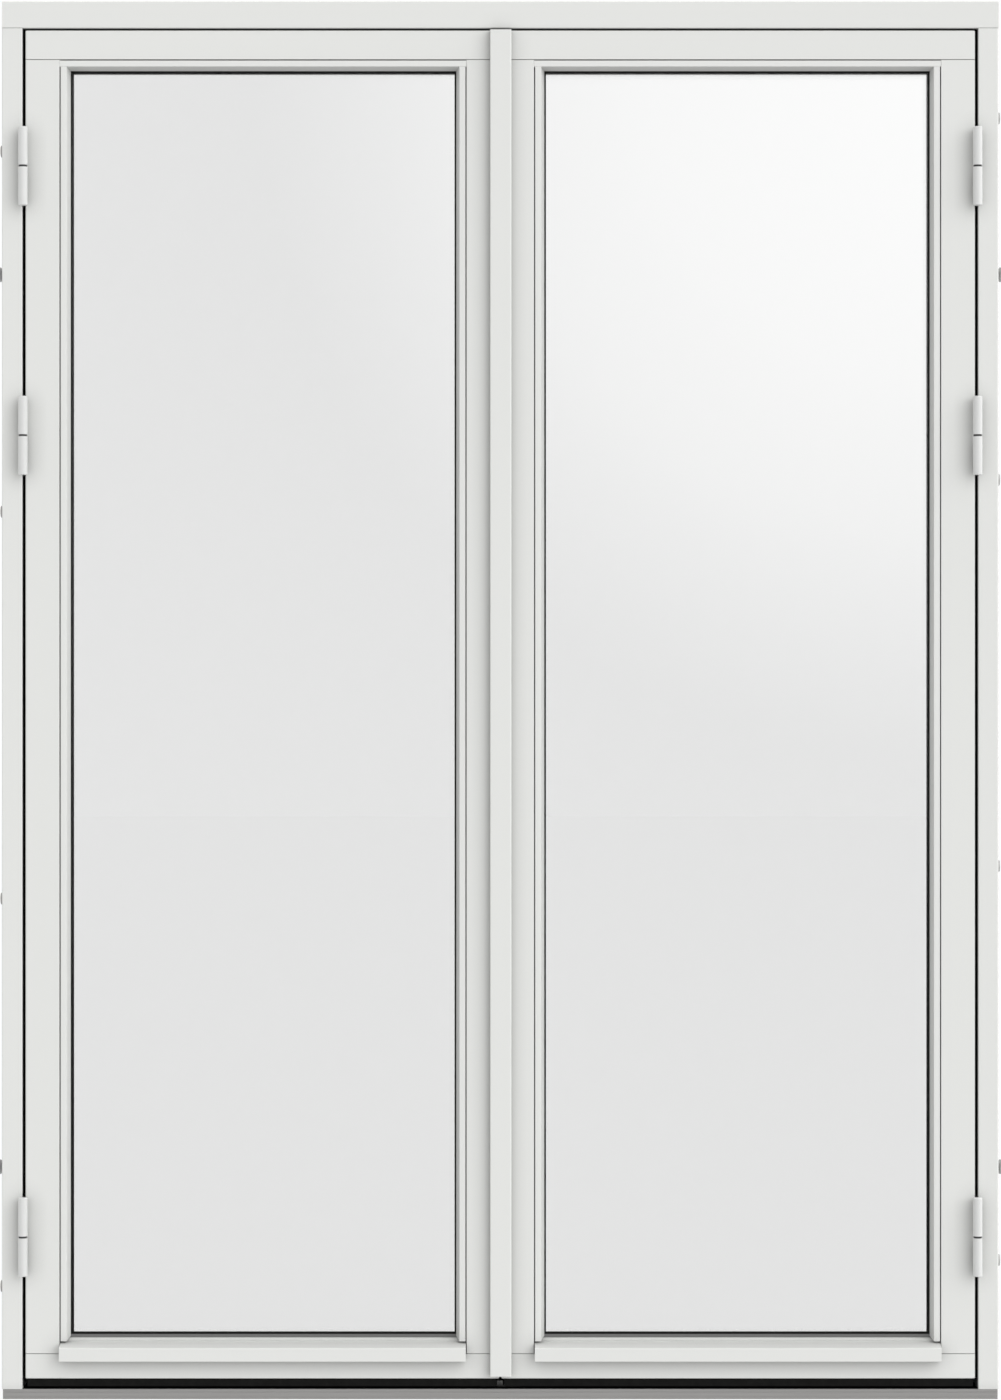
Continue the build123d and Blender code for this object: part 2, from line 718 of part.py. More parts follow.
def drip_bead():
    """The weathered bead under the glass: a nose, a slope, and a skirt with a drip groove."""
    nose_front = BEAD_BACK - DRIP_NOSE
    front = drip_front()
    skirt_foot = GLAZING_FOOT - DRIP_SKIRT
    groove = (front + DRIP_GROOVE_INSET, front + DRIP_GROOVE_INSET + DRIP_GROOVE)
    corners = [
        (BEAD_BACK, GLAZING_FOOT, 0),
        (BEAD_BACK, DRIP_TOP, 0),
        (nose_front, DRIP_TOP - DRIP_NOSE_FALL, FINE_ARRIS),
        (nose_front, GLAZING_FOOT + DRIP_SLOPE_RISE, 0),
        (front, GLAZING_FOOT + DRIP_EDGE_RISE, ARRIS),
        (front, skirt_foot, FINE_ARRIS),
        (groove[0], skirt_foot, 0),
        (groove[0], skirt_foot + DRIP_GROOVE, 0),
        (groove[1], skirt_foot + DRIP_GROOVE, 0),
        (groove[1], skirt_foot, 0),
        (LEAF_FRONT, skirt_foot, 0),
        (LEAF_FRONT, GLAZING_FOOT, 0),
    ]
    return level(corners, (GLAZING_MEETING + DRIP_END_GAP, GLAZING_SIDE - DRIP_END_GAP))


def panes():
    pitch = PANE + CAVITY
    return [
        block(PANE_X, (UNIT_FRONT + number * pitch, UNIT_FRONT + number * pitch + PANE), PANE_Z)
        for number in range(3)
    ]


def spacers():
    """One closed spacer and edge seal for each of the two cavities."""
    inner_x = (PANE_X[0] + EDGE_SEAL, PANE_X[1] - EDGE_SEAL)
    inner_z = (PANE_Z[0] + EDGE_SEAL, PANE_Z[1] - EDGE_SEAL)
    pitch = PANE + CAVITY
    rings = []
    for number in range(2):
        front = UNIT_FRONT + PANE + number * pitch
        ring = block(PANE_X, (front, front + CAVITY), PANE_Z)
        rings.append(ring - block(inner_x, (front - 1, front + CAVITY + 1), inner_z))
    return rings


def glazing_rubber():
    """Gaskets on both faces of the glass unit, and the two blocks that it stands on."""
    sight_x = (GLAZING_MEETING + side_sight(), GLAZING_SIDE - side_sight())
    top_sight = GLAZING_TOP - BEAD_GROOVE - TOP_BEAD_FACE - BEAD_BEVEL - GASKET_LIP
    outer = gasket_strips(sight_x, (DRIP_TOP + FOOT_GASKET_LIP, top_sight), (BEAD_BACK, UNIT_FRONT))
    nib_x = (GLAZING_MEETING + NIB_REACH, GLAZING_SIDE - NIB_REACH)
    nib_z = (GLAZING_FOOT + BOTTOM_NIB_REACH, GLAZING_TOP - NIB_REACH)
    inner = gasket_strips(nib_x, nib_z, (UNIT_BACK, NIB_FRONT))
    starts = (
        PANE_X[0] + SETTING_BLOCK_INSET,
        PANE_X[1] - SETTING_BLOCK_INSET - SETTING_BLOCK_LENGTH,
    )
    blocks = [
        block(
            (start, start + SETTING_BLOCK_LENGTH), (UNIT_FRONT, UNIT_BACK), (GLAZING_FOOT, PANE_Z[0])
        )
        for start in starts
    ]
    return outer + inner + blocks


def side_sight():
    """From the glazing rebate to the edge of the visible glass, at a side."""
    return BEAD_GROOVE + SIDE_BEAD_FACE + BEAD_BEVEL + GASKET_LIP


def gasket_strips(sight_x, sight_z, y):
    """Four flat strips between the unit's edge and the sight lines."""
    return [
        block(PANE_X, y, (sight_z[1], PANE_Z[1])),
        block(PANE_X, y, (PANE_Z[0], sight_z[0])),
        block((PANE_X[0], sight_x[0]), y, sight_z),
        block((sight_x[1], PANE_X[1]), y, sight_z),
    ]


def foot_seal():
    """The black strip under the right leaf."""
    front = LEAF_FRONT + FOOT_SEAL_INSET
    return level(
        [
            (front, LEAF_FOOT - FOOT_SEAL_HEIGHT, FINE_ARRIS),
            (front + FOOT_SEAL_DEPTH, LEAF_FOOT - FOOT_SEAL_HEIGHT, FINE_ARRIS),
            (front + FOOT_SEAL_DEPTH, LEAF_FOOT, 0),
            (front, LEAF_FOOT, 0),
        ],
        (FOOT_SEAL_START, LEAF_SIDE - FOOT_SEAL_END_CUT),
    )


# Strips on the meeting stiles

def astragal():
    """The cover strip on the right leaf, which laps over the left leaf's edge."""
    front = LEAF_FRONT - ASTRAGAL_THICKNESS
    corners = [
        (-ASTRAGAL_LAP, front, ARRIS),
        (ASTRAGAL_WIDTH - ASTRAGAL_LAP, front, ARRIS),
        (ASTRAGAL_WIDTH - ASTRAGAL_LAP, LEAF_FRONT, 0),
        (LEAF_MEETING, LEAF_FRONT, 0),
        (LEAF_MEETING, LEAF_FRONT - LAP_RELIEF, 0),
        (-ASTRAGAL_LAP, LEAF_FRONT - LAP_RELIEF, 0),
    ]
    return upright(corners, (LEAF_FOOT + ASTRAGAL_FOOT_CUT, LEAF_TOP - ASTRAGAL_TOP_CUT))


def inner_stop():
    """The strip on the left leaf's inner face that the right leaf closes against."""
    back = LEAF_BACK + INNER_STOP_THICKNESS
    corners = [
        (-INNER_STOP_SEAT, LEAF_BACK, 0),
        (-LEAF_STEP, LEAF_BACK, 0),
        (-LEAF_STEP, LEAF_BACK + LAP_RELIEF, 0),
        (INNER_STOP_LAP, LEAF_BACK + LAP_RELIEF, 0),
        (INNER_STOP_LAP, back, ARRIS),
        (-INNER_STOP_SEAT, back, ARRIS),
    ]
    return upright(corners, (STOP_RAIL_TOP + INNER_STOP_END_GAP, STOP_TOP - INNER_STOP_END_GAP))


# Espagnolette on the right leaf

FACEPLATE_X = (LEAF_STEP, LEAF_STEP + FACEPLATE)
FACEPLATE_Y = (ROD_Y - FACEPLATE_WIDTH / 2, ROD_Y + FACEPLATE_WIDTH / 2)
FACEPLATE_Z = (GLAZING_FOOT + FACEPLATE_END_ROOM, GLAZING_TOP - FACEPLATE_END_ROOM)
CHANNEL_X = (FACEPLATE_X[1], FACEPLATE_X[1] + CHANNEL_DEPTH)
CHANNEL_Y = (ROD_Y - CHANNEL_WIDTH / 2, ROD_Y + CHANNEL_WIDTH / 2)
GEARBOX_X = (FACEPLATE_X[1], SPINDLE_X + GEARBOX_BACK)
GEARBOX_Y = (ROD_Y - GEARBOX_THICKNESS / 2, ROD_Y + GEARBOX_THICKNESS / 2)
GEARBOX_Z = (HANDLE_HEIGHT - GEARBOX_LENGTH / 2, HANDLE_HEIGHT + GEARBOX_LENGTH / 2)


def locked_stile():
    """The right meeting stile, cut for the faceplate, rods, gearbox and spindle."""
    stile = meeting_stile()
    stile -= block((LEAF_STEP - 1, FACEPLATE_X[1]), FACEPLATE_Y, FACEPLATE_Z)
    stile -= block(CHANNEL_X, CHANNEL_Y, (GLAZING_FOOT - 1, GLAZING_TOP + 1))
    stile -= block(GEARBOX_X, GEARBOX_Y, GEARBOX_Z)
    hole = (ROD_Y, LEAF_BACK + 1)
    return stile - rod_along_y(SPINDLE_HOLE_RADIUS, SPINDLE_X, hole, HANDLE_HEIGHT)


def faceplate():
    return block(FACEPLATE_X, FACEPLATE_Y, FACEPLATE_Z)


def gearbox():
    """The lock case, with sockets for the rods and a follower hole for the spindle."""
    case = block(GEARBOX_X, GEARBOX_Y, GEARBOX_Z)
    radius = ROD_RADIUS + ROD_CLEARANCE
    sockets = (
        (GEARBOX_Z[1] - GEARBOX_ROD_SOCKET, GEARBOX_Z[1] + 1),
        (GEARBOX_Z[0] - 1, GEARBOX_Z[0] + GEARBOX_ROD_SOCKET),
    )
    for socket in sockets:
        case -= rod_along_z(radius, ROD_X, ROD_Y, socket)
    through = (GEARBOX_Y[0] - 1, GEARBOX_Y[1] + 1)
    return case - rod_along_y(FOLLOWER_RADIUS, SPINDLE_X, through, HANDLE_HEIGHT)


def rod(z):
    """A round rod from z[0] to z[1], with both ends chamfered."""
    bar = rod_along_z(ROD_RADIUS, ROD_X, ROD_Y, z)
    return chamfer(bar.edges().filter_by(GeomType.CIRCLE), FINE_ARRIS)


ROD_TOP = LEAF_TOP - ROD_TOP_DRAWBACK
ROD_FOOT = LEAF_FOOT - ROD_FOOT_REACH


def upper_rod():
    return rod((GEARBOX_Z[1] - GEARBOX_ROD_SOCKET + FINE_ARRIS, ROD_TOP))


def lower_rod():
    return rod((ROD_FOOT, GEARBOX_Z[0] + GEARBOX_ROD_SOCKET - FINE_ARRIS))


def lever():
    """A round lever bent down from its neck, with the square spindle behind it."""
    start = (SPINDLE_X, LEAF_BACK + FINE_ARRIS, HANDLE_HEIGHT)
    bend = (SPINDLE_X, LEAF_BACK + LEVER_STANDOFF, HANDLE_HEIGHT)
    end = (SPINDLE_X, LEAF_BACK + LEVER_STANDOFF, HANDLE_HEIGHT - LEVER_LENGTH)
    path = FilletPolyline(start, bend, end, radius=LEVER_BEND)
    bar = sweep(Plane(origin=start, z_dir=(0, 1, 0)) * Circle(LEVER_RADIUS), path)
    tip = bar.edges().filter_by(GeomType.CIRCLE).sort_by(Axis.Z)[0]
    bar = fillet(tip, LEVER_RADIUS / 2)
    half = SPINDLE / 2
    spindle = block(
        (SPINDLE_X - half, SPINDLE_X + half),
        (GEARBOX_Y[0] + FINE_ARRIS, start[1] + FINE_ARRIS),
        (HANDLE_HEIGHT - half, HANDLE_HEIGHT + half),
    )
    return bar + spindle


def handle_backplate():
    outline = Rot(0, 0, 90) * SlotOverall(BACKPLATE_LENGTH, BACKPLATE_WIDTH)
    outline -= Circle(LEVER_RADIUS + ROD_CLEARANCE)
    face = Plane(origin=(SPINDLE_X, LEAF_BACK, HANDLE_HEIGHT), x_dir=(1, 0, 0), z_dir=(0, -1, 0))
    return extrude(face * outline, BACKPLATE, dir=(0, 1, 0))


# Flush bolts on the left leaf. They are drawn on the right, like the rest, and mirrored.

TOP_FLUSH_Z = (FACEPLATE_Z[1] - FLUSH_PLATE_LENGTH, FACEPLATE_Z[1])
FOOT_FLUSH_Z = (FACEPLATE_Z[0], FACEPLATE_Z[0] + FLUSH_PLATE_LENGTH)
TOP_TAB_Z = (TOP_FLUSH_Z[0] + FLUSH_TAB_DRAWBACK, TOP_FLUSH_Z[0] + FLUSH_TAB_DRAWBACK + FLUSH_TAB_HEIGHT)
FOOT_TAB_Z = (
    FOOT_FLUSH_Z[1] - FLUSH_TAB_DRAWBACK - FLUSH_TAB_HEIGHT,
    FOOT_FLUSH_Z[1] - FLUSH_TAB_DRAWBACK,
)


def flush_plate(plate_z, slot_z):
    """A flush bolt's faceplate, slotted for the finger tab's travel."""
    half = FLUSH_TAB / 2 + ROD_CLEARANCE
    slot = block(
        (FACEPLATE_X[0] - 1, FACEPLATE_X[1] + 1),
        (ROD_Y - half, ROD_Y + half),
        (slot_z[0] - ROD_CLEARANCE, slot_z[1] + ROD_CLEARANCE),
    )
    return block(FACEPLATE_X, FACEPLATE_Y, plate_z) - slot


def flush_bolt(rod_z, tab_z):
    """A flush bolt: the rod and the finger tab that shows in the faceplate's slot."""
    half = FLUSH_TAB / 2
    tab = block((LEAF_STEP + FINE_ARRIS, ROD_X), (ROD_Y - half, ROD_Y + half), tab_z)
    return rod(rod_z) + tab


def bolted_stile():
    """The right-hand form of the left meeting stile, cut for the two flush bolts."""
    stile = meeting_stile()
    radius = ROD_RADIUS + ROD_CLEARANCE
    for plate_z in (TOP_FLUSH_Z, FOOT_FLUSH_Z):
        inside = (plate_z[0] + FLUSH_MORTISE_END, plate_z[1] - FLUSH_MORTISE_END)
        stile -= block((LEAF_STEP - 1, FACEPLATE_X[1]), FACEPLATE_Y, plate_z)
        stile -= block(CHANNEL_X, CHANNEL_Y, inside)
    stile -= rod_along_z(radius, ROD_X, ROD_Y, (TOP_FLUSH_Z[0] + FLUSH_MORTISE_END, GLAZING_TOP + 1))
    stile -= rod_along_z(radius, ROD_X, ROD_Y, (GLAZING_FOOT - 1, FOOT_FLUSH_Z[1] - FLUSH_MORTISE_END))
    return stile


# The nodes

def shared_leaf_nodes():
    """The pieces that both leaves have, as the right leaf has them."""
    nodes = {
        "hinge_stile": hinge_stile(),
        "top_rail": top_rail(),
        "bottom_rail": bottom_rail(),
        "top_bead": top_bead(),
        "side_beads": side_beads(),
        "drip_bead": drip_bead(),
        "panes": panes(),
        "spacers": spacers(),
        "glazing_rubber": glazing_rubber(),
        "foot_seal": foot_seal(),
    }
    for name, height in HINGE_HEIGHTS.items():
        nodes[f"{name}_hinge"] = leaf_hinge(height)
    return nodes


def frame_nodes():
    nodes = {
        "frame_head": head(),
        "frame_jamb_right": jamb(RIGHT_SLEEVE_HEIGHTS),
        "frame_jamb_left": to_left(jamb(LEFT_SLEEVE_HEIGHTS)),
        "threshold_nosing": threshold_nosing(),
        "threshold_core": threshold_core(),
        "threshold_stop": threshold_stop(),
        "threshold_keep": threshold_keep(),
        "head_keep": keep_plate((REBATE_TOP, REBATE_TOP + KEEP_PLATE)),
        "weatherstrips": weatherstrips(),
        "fixing_sleeves": fixing_sleeves(),
        "frame_adjusters": frame_adjusters(),
        "hinge_pins": hinge_pins(),
        "hinge_washers": hinge_washers(),
    }
    for name, height in HINGE_HEIGHTS.items():
        half = frame_hinge(height)
        nodes[f"frame_{name}_hinge_right"] = half
        nodes[f"frame_{name}_hinge_left"] = to_left(half)
    return nodes


def right_leaf_nodes():
    nodes = {f"right_{name}": shape for name, shape in shared_leaf_nodes().items()}
    nodes["right_meeting_stile"] = locked_stile()
    nodes["astragal"] = astragal()
    nodes["lock_faceplate"] = faceplate()
    nodes["lock_gearbox"] = gearbox()
    nodes["upper_rod"] = upper_rod()
    nodes["lower_rod"] = lower_rod()
    nodes["handle_backplate"] = handle_backplate()
    nodes["lever_handle"] = lever()
    return nodes


def left_leaf_nodes():
    top_slot = (TOP_TAB_Z[0], TOP_TAB_Z[1] + ROD_THROW)
    foot_slot = (FOOT_TAB_Z[0] - ROD_THROW, FOOT_TAB_Z[1])
    top_bolt = flush_bolt((TOP_FLUSH_Z[0] + FLUSH_MORTISE_END + FINE_ARRIS, ROD_TOP), TOP_TAB_Z)
    foot_bolt = flush_bolt((ROD_FOOT, FOOT_FLUSH_Z[1] - FLUSH_MORTISE_END - FINE_ARRIS), FOOT_TAB_Z)
    nodes = dict(shared_leaf_nodes())
    nodes["meeting_stile"] = bolted_stile()
    nodes["top_bolt_plate"] = flush_plate(TOP_FLUSH_Z, top_slot)
    nodes["foot_bolt_plate"] = flush_plate(FOOT_FLUSH_Z, foot_slot)
    nodes["top_flush_bolt"] = top_bolt
    nodes["foot_flush_bolt"] = foot_bolt
    mirrored = {}
    for name, shape in nodes.items():
        pieces = shape if isinstance(shape, list) else [shape]
        mirrored[f"left_{name}"] = [to_left(piece) for piece in pieces]
    mirrored["left_inner_stop"] = inner_stop()
    return mirrored


def main():
    os.makedirs("parts", exist_ok=True)
    nodes = {**frame_nodes(), **left_leaf_nodes(), **right_leaf_nodes()}
    for name, shape in nodes.items():
        pieces = shape if isinstance(shape, list) else [shape]
        solids = [solid for piece in pieces for solid in piece.solids()]
        whole = solids[0] if len(solids) == 1 else Compound(children=solids)
        export_step(whole, f"parts/{name}.step")
    print(len(nodes), "nodes")


if __name__ == "__main__":
    main()
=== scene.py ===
import json
import math

import bmesh
import bpy
from mathutils import Matrix, Vector


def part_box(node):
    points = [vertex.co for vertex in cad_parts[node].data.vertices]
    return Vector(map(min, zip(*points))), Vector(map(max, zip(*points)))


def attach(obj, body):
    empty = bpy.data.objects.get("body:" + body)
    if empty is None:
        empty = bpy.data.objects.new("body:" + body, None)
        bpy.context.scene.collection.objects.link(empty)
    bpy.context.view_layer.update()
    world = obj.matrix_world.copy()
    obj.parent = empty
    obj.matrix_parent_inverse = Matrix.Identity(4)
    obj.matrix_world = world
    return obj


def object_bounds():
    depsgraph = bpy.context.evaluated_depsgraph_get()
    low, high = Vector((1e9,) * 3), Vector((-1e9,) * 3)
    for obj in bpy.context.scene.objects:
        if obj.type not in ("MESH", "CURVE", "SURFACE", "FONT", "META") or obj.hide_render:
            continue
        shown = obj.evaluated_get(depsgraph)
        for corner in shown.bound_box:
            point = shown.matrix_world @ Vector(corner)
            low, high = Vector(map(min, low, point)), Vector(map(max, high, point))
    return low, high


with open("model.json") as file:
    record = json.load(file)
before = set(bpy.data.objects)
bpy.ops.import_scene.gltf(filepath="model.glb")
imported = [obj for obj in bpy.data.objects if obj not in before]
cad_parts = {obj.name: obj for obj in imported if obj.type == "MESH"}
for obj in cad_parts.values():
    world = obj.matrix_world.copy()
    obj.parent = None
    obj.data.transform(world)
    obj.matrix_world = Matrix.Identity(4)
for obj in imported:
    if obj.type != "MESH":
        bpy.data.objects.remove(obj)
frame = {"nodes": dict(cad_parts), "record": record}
CAD_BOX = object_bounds()
NODES = frame["nodes"]
RECORD = frame["record"]

# The picture: its frame in pixels, and the row and column that tie it to the doors
PICTURE_WIDTH = 1001
PICTURE_HEIGHT = 1400
BASE_ROW = 1399.2
CENTRE_COLUMN = 500.25
METRES_PER_PIXEL = 0.0014949
CAMERA_DISTANCE = 6.0
SENSOR_MILLIMETRES = 36.0

# Colours, as linear values
WHITE = (1.0, 1.0, 1.0, 1.0)
PAINT = (0.760, 0.766, 0.746, 1.0)
HINGE_PAINT = (0.690, 0.696, 0.686, 1.0)
ALUMINIUM = (0.36, 0.353, 0.346, 1.0)
STEEL = (0.50, 0.50, 0.49, 1.0)
# Steel made darker for the threshold keep under the seals: painted shade
STEEL_PAINTED_SHADE = (0.16, 0.16, 0.155, 1.0)
HANDLE = (0.62, 0.615, 0.60, 1.0)
RUBBER = (0.008, 0.008, 0.0075, 1.0)
GREY_RUBBER = (0.17, 0.17, 0.168, 1.0)
# Rubber made darker for the seals deep in the gaps: painted shade
RUBBER_PAINTED_SHADE = (0.003, 0.003, 0.003, 1.0)
COMPOSITE = (0.006, 0.006, 0.006, 1.0)
SPACER = (0.008, 0.008, 0.009, 1.0)
WASHER = (0.05, 0.05, 0.05, 1.0)
SLEEVE = (0.42, 0.42, 0.41, 1.0)
GLASS = (0.995, 0.996, 0.995, 1.0)

# The middle stretch of a noise's values, where nearly all of them lie
NOISE_LOW = 0.3
NOISE_HIGH = 0.7

# Painted shade in the base colour where surfaces meet: how far from a corner the paint darkens,
# in metres, and the share of that shade it takes
PAINTED_SHADE_REACH = 0.030
PAINTED_SHADE_SHARE = 0.55
PAINTED_SHADE_SAMPLES = 8

# The grey strip of the gasket above the drip bead, and where it turns black, in metres
GREY_STRIP = 0.005
GREY_STRIP_EDGE = 0.0003

# Light: a level fill from all round, and a broad soft glow from either side. A glow has the
# direction it comes from and its brightness, and starts where the cosine of the angle to that
# direction is GLOW_START.
FILL = 0.61
GLOWS = (((0.88, -0.24, 0.41), 2.05), ((-0.92, -0.22, 0.32), 0.46))
GLOW_START = 0.35

# The soft brightness that the glass mirrors: its middle in the picture and its reach, in pixels,
# and its levels at shares of that reach
REFLECTION_COLUMN = 955.0
REFLECTION_ROW = 60.0
REFLECTION_REACH = 690.0
REFLECTION_FALL = ((0.0, 1.0), (0.47, 0.76), (0.72, 0.43), (1.0, 0.0))

# How far from straight in front mirrored rays start to see the fill, and where they see it all,
# as distances between directions of length one
DARK_CONE = 0.30
DARK_CONE_EDGE = 0.50

# The floor: half its width and its gap under the doors, in metres, its own grey, how much of its
# white is light of its own where it is seen, and the light that it sends up elsewhere
FLOOR_REACH = 30.0
FLOOR_GAP = 0.0005
FLOOR_GREY = 0.86
FLOOR_WHITE = 0.95
FLOOR_FILL = 0.74

# Where screws sit and how large they are, in metres
SCREW_RADIUS = 0.0034
SCREW_RISE = 0.0008
HINGE_SCREW_INSET = 0.0085
HINGE_SCREW_PITCH = 0.026
FLAP_PROUD = 0.0005
FLAP_GAP = 0.0035
PLATE_SCREW_INSET = 0.011
KEEP_SCREW_INSET = 0.0045
BACKPLATE_SCREW_INSET = 0.011
FACEPLATE_SCREWS = 7

# A screw head's outline, as shares of its radius and of its rise, and its recess
RIM_RISE = 0.45
SHOULDER_REACH = 0.94
SHOULDER_RISE = 0.8
CROWN_REACH = 0.80
RECESS_REACH = 0.52
RECESS_TAPER = 0.95
RECESS_FLOOR = 0.15
LOBES = 6
LOBE_DEPTH = 0.13
SCREW_SEGMENTS = 48

# How much further each screw head is turned than the last, in degrees
SCREW_TURN = 37
LOBE_TURN = 360 // LOBES

FRONT_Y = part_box("frame_head")[0][1]


def grey(value):
    return (value, value, value, 1.0)


def scaled(color, share):
    """A colour made darker or lighter by a share, and no lighter than white."""
    return [min(1.0, channel * share) for channel in color[:3]] + [1.0]


def middle(box, axis):
    return (box[0][axis] + box[1][axis]) / 2


class Graph:
    """Short calls that build the nodes of a material or of the world."""

    def __init__(self, tree):
        self.tree = tree

    def link(self, out, into):
        self.tree.links.new(out, into)

    def give(self, node, inputs):
        """Sets inputs of a node, or links them where the value is another node's output."""
        for name, value in inputs.items():
            if isinstance(value, bpy.types.NodeSocket):
                self.link(value, node.inputs[name])
            else:
                node.inputs[name].default_value = value

    def node(self, kind, inputs, **settings):
        made = self.tree.nodes.new(kind)
        for key, value in settings.items():
            setattr(made, key, value)
        self.give(made, inputs)
        return made

    def calculate(self, operation, a, b, clamp=True):
        made = self.node("ShaderNodeMath", {0: a, 1: b}, operation=operation, use_clamp=clamp)
        return made.outputs[0]

    def compare(self, operation, direction, other):
        """The distance or the dot product of two directions."""
        made = self.node("ShaderNodeVectorMath", {0: direction, 1: other}, operation=operation)
        return made.outputs["Value"]

    def rise(self, value, start, end=1.0, top=1.0):
        """Goes softly from nothing to top while the value goes from start to end."""
        inputs = {"Value": value, "From Min": start, "From Max": end, "To Max": top}
        made = self.node("ShaderNodeMapRange", inputs, interpolation_type="SMOOTHSTEP")
        return made.outputs["Result"]

    def mix(self, share, first, second, blend_type="MIX"):
        """Mixes two colours."""
        inputs = {"Factor": share, "A": first, "B": second}
        made = self.node("ShaderNodeMix", inputs, data_type="RGBA", blend_type=blend_type)
        return made.outputs["Result"]

    def blend(self, share, first, second):
        """Mixes two shaders."""
        return self.node("ShaderNodeMixShader", {"Fac": share, 1: first, 2: second}).outputs[0]

    def glow(self, strength):
        return self.node("ShaderNodeEmission", {"Strength": strength}).outputs[0]

    def background(self, color, strength):
        inputs = {"Color": color, "Strength": strength}
        return self.node("ShaderNodeBackground", inputs).outputs[0]

    def seen_and_mirrored(self, path):
        """Whether a ray is the camera's view, also through glass, and whether it was mirrored."""
        mirrored_first = self.calculate("GREATER_THAN", path.outputs["Glossy Depth"], 0.5)
        scattered_first = self.calculate("GREATER_THAN", path.outputs["Diffuse Depth"], 0.5)
        turned = self.calculate("MAXIMUM", mirrored_first, scattered_first)
        straight = self.calculate("SUBTRACT", 1.0, turned)
        through = self.calculate("MULTIPLY", path.outputs["Is Transmission Ray"], straight)
        seen = self.calculate("MAXIMUM", path.outputs["Is Camera Ray"], through)
        not_seen = self.calculate("SUBTRACT", 1.0, seen)
        mirrored = self.calculate("MULTIPLY", path.outputs["Is Glossy Ray"], not_seen)
        return seen, mirrored


class Surface(Graph):
    """A material with a Principled shader, and short calls that add the nodes of its detail."""

    def __init__(self, name, color, roughness, metallic=0.0):
        self.material = bpy.data.materials.new(name)
        self.material.use_nodes = True
        super().__init__(self.material.node_tree)
        self.shader = self.tree.nodes["Principled BSDF"]
        self.color = color
        self.roughness = roughness
        self.set({"Base Color": color, "Roughness": roughness, "Metallic": metallic})

    def set(self, inputs):
        self.give(self.shader, inputs)

    def place(self, stretch):
        """Object coordinates stretched along the axes, so that grain can run along one way."""
        coordinates = self.node("ShaderNodeTexCoord", {})
        inputs = {"Scale": stretch, "Vector": coordinates.outputs["Object"]}
        return self.node("ShaderNodeMapping", inputs).outputs["Vector"]

    def noise(self, scale, stretch=(1, 1, 1), detail=3.0, roughness=0.5):
        inputs = {
            "Scale": scale,
            "Detail": detail,
            "Roughness": roughness,
            "Vector": self.place(stretch),
        }
        return self.node("ShaderNodeTexNoise", inputs).outputs["Fac"]

    def ranged(self, value, low, high):
        """Maps a noise value onto low to high."""
        inputs = {
            "Value": value,
            "From Min": NOISE_LOW,
            "From Max": NOISE_HIGH,
            "To Min": low,
            "To Max": high,
        }
        return self.node("ShaderNodeMapRange", inputs).outputs["Result"]

    def tint(self, value, dark, light):
        """Varies the base colour between two shares of itself."""
        share = self.ranged(value, 0.0, 1.0)
        color = self.mix(share, scaled(self.color, dark), scaled(self.color, light))
        self.set({"Base Color": color})

    def paint_shade_into_corners(self):
        """Paints shade into the base colour, once it is linked: it darkens where surfaces meet.
        """
        settings = {"samples": PAINTED_SHADE_SAMPLES}
        corners = self.node("ShaderNodeAmbientOcclusion", {"Distance": PAINTED_SHADE_REACH}, **settings)
        painted = self.shader.inputs["Base Color"].links[0].from_socket
        color = self.mix(PAINTED_SHADE_SHARE, painted, corners.outputs["Color"], "MULTIPLY")
        self.set({"Base Color": color})

    def dull(self, level):
        """Lowers the mirror-like share of what the surface reflects."""
        self.set({"Specular IOR Level": level})

    def vary_gloss(self, value, spread):
        """Varies the roughness by a spread to either side."""
        roughness = self.ranged(value, self.roughness - spread, self.roughness + spread)
        self.set({"Roughness": roughness})

    def bump(self, value, strength, distance):
        """Raises fine relief. The distance is in metres."""
        inputs = {"Strength": strength, "Distance": distance, "Height": value}
        self.set({"Normal": self.node("ShaderNodeBump", inputs).outputs["Normal"]})


def painted_timber(name, along):
    """Factory paint on planed timber: the faintest grain along the piece, orange peel, and
    painted shade that darkens it where surfaces meet.
    """
    surface = Surface(name, PAINT, roughness=0.42)
    stretch = tuple(0.06 if axis == along else 1.0 for axis in "xyz")
    grain = surface.noise(scale=260.0, stretch=stretch, detail=4.0, roughness=0.6)
    clouds = surface.noise(scale=3.0, stretch=stretch, detail=2.0)
    surface.tint(clouds, dark=0.992, light=1.006)
    # Painted shade: the base colour darkens where surfaces meet
    surface.paint_shade_into_corners()
    surface.vary_gloss(surface.noise(scale=40.0, stretch=stretch), spread=0.05)
    surface.bump(grain, strength=0.12, distance=0.0002)
    return surface.material


def hinge_paint():
    surface = Surface("white_powder_coat", HINGE_PAINT, roughness=0.38)
    surface.tint(surface.noise(scale=30.0), dark=0.99, light=1.005)
    surface.bump(surface.noise(scale=1400.0), strength=0.12, distance=0.0001)
    return surface.material


def anodised_aluminium():
    """Extruded aluminium, with its fine lines along X."""
    surface = Surface("anodised_aluminium", ALUMINIUM, roughness=0.42, metallic=0.35)
    lines = surface.noise(scale=900.0, stretch=(0.01, 1.0, 1.0), detail=4.0, roughness=0.7)
    surface.tint(lines, dark=0.93, light=1.05)
    surface.vary_gloss(surface.noise(scale=60.0, stretch=(0.02, 1.0, 1.0)), spread=0.06)
    surface.bump(lines, strength=0.15, distance=0.0002)
    return surface.material


def plated_steel(name, color):
    surface = Surface(name, color, roughness=0.34, metallic=0.85)
    lines = surface.noise(scale=700.0, stretch=(1.0, 1.0, 0.03), roughness=0.6)
    surface.tint(surface.noise(scale=45.0), dark=0.9, light=1.06)
    surface.vary_gloss(lines, spread=0.07)
    surface.bump(lines, strength=0.08, distance=0.0001)
    return surface.material


